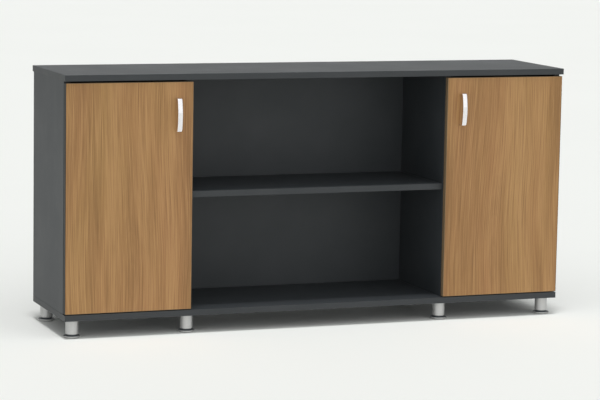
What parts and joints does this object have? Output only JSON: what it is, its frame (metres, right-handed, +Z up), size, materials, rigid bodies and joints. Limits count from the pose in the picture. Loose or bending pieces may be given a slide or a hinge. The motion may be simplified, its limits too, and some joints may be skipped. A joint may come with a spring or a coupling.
{
  "type": "office credenza",
  "caption": "Low wide office credenza: graphite board carcass with an open shelved niche between wood-faced hinged doors, on round metal legs with levelling feet.",
  "frame": {"origin": "on the floor under the middle of the bounding box", "axes": "+X to the viewer's right along the top, +Y from the doors to the back, +Z up"},
  "size_m": [1.6, 0.394, 0.776],
  "materials": {
    "graphite_board": "matt graphite melamine facing with a fine texture",
    "wood_laminate": "satin wood-grain laminate, grain upright",
    "bright_chrome": "polished bright metal",
    "satin_aluminium": "satin silver",
    "hinge_metal": "bright nickel plate",
    "plain_steel": "zinc plate",
    "clear_pad": "soft clear pad"
  },
  "bodies": {
    "carcass": {"top_panel": "graphite_board", "bottom_panel": "graphite_board", "back_panel": "graphite_board", "niche_shelf": "graphite_board", "left_side_panel": "graphite_board", "left_divider": "graphite_board", "left_shelf": "graphite_board", "left_shelf_pin_1": "plain_steel", "left_shelf_pin_2": "plain_steel", "left_shelf_pin_3": "plain_steel", "left_shelf_pin_4": "plain_steel", "left_upper_hinge_arm": "hinge_metal", "left_upper_hinge_plate": "hinge_metal", "left_lower_hinge_arm": "hinge_metal", "left_lower_hinge_plate": "hinge_metal", "right_side_panel": "graphite_board", "right_divider": "graphite_board", "right_shelf": "graphite_board", "right_shelf_pin_1": "plain_steel", "right_shelf_pin_2": "plain_steel", "right_shelf_pin_3": "plain_steel", "right_shelf_pin_4": "plain_steel", "right_upper_hinge_arm": "hinge_metal", "right_upper_hinge_plate": "hinge_metal", "right_lower_hinge_arm": "hinge_metal", "right_lower_hinge_plate": "hinge_metal", "front_leg_1": "satin_aluminium", "front_leg_2": "satin_aluminium", "front_leg_3": "satin_aluminium", "front_leg_4": "satin_aluminium", "rear_leg_1": "satin_aluminium", "rear_leg_2": "satin_aluminium", "rear_leg_3": "satin_aluminium", "rear_leg_4": "satin_aluminium"},
    "left_door": {"left_door": "wood_laminate", "left_handle": "bright_chrome", "left_handle_screw_1": "plain_steel", "left_handle_screw_2": "plain_steel", "left_door_bumper": "clear_pad", "left_upper_hinge_cup": "hinge_metal", "left_upper_hinge_pin": "plain_steel", "left_lower_hinge_cup": "hinge_metal", "left_lower_hinge_pin": "plain_steel"},
    "right_door": {"right_door": "wood_laminate", "right_handle": "bright_chrome", "right_handle_screw_1": "plain_steel", "right_handle_screw_2": "plain_steel", "right_door_bumper": "clear_pad", "right_upper_hinge_cup": "hinge_metal", "right_upper_hinge_pin": "plain_steel", "right_lower_hinge_cup": "hinge_metal", "right_lower_hinge_pin": "plain_steel"},
    "front_foot_1": {"front_foot_1": "satin_aluminium"},
    "front_foot_2": {"front_foot_2": "satin_aluminium"},
    "front_foot_3": {"front_foot_3": "satin_aluminium"},
    "front_foot_4": {"front_foot_4": "satin_aluminium"},
    "rear_foot_1": {"rear_foot_1": "satin_aluminium"},
    "rear_foot_2": {"rear_foot_2": "satin_aluminium"},
    "rear_foot_3": {"rear_foot_3": "satin_aluminium"},
    "rear_foot_4": {"rear_foot_4": "satin_aluminium"}
  },
  "joints": [
    {"name": "left_door_hinge", "type": "hinge", "parent": "carcass", "child": "left_door", "pos_m": [-0.7897, -0.1618, 0.4135], "axis": [0, 0, -1], "range_deg": [0, 95]},
    {"name": "right_door_hinge", "type": "hinge", "parent": "carcass", "child": "right_door", "pos_m": [0.7897, -0.1618, 0.4135], "axis": [0, 0, 1], "range_deg": [0, 95]},
    {"name": "front_foot_1_screw", "type": "slide", "parent": "carcass", "child": "front_foot_1", "axis": [0, 0, -1], "range_m": [0, 0.01]},
    {"name": "front_foot_2_screw", "type": "slide", "parent": "carcass", "child": "front_foot_2", "axis": [0, 0, -1], "range_m": [0, 0.01]},
    {"name": "front_foot_3_screw", "type": "slide", "parent": "carcass", "child": "front_foot_3", "axis": [0, 0, -1], "range_m": [0, 0.01]},
    {"name": "front_foot_4_screw", "type": "slide", "parent": "carcass", "child": "front_foot_4", "axis": [0, 0, -1], "range_m": [0, 0.01]},
    {"name": "rear_foot_1_screw", "type": "slide", "parent": "carcass", "child": "rear_foot_1", "axis": [0, 0, -1], "range_m": [0, 0.01]},
    {"name": "rear_foot_2_screw", "type": "slide", "parent": "carcass", "child": "rear_foot_2", "axis": [0, 0, -1], "range_m": [0, 0.01]},
    {"name": "rear_foot_3_screw", "type": "slide", "parent": "carcass", "child": "rear_foot_3", "axis": [0, 0, -1], "range_m": [0, 0.01]},
    {"name": "rear_foot_4_screw", "type": "slide", "parent": "carcass", "child": "rear_foot_4", "axis": [0, 0, -1], "range_m": [0, 0.01]}
  ]
}
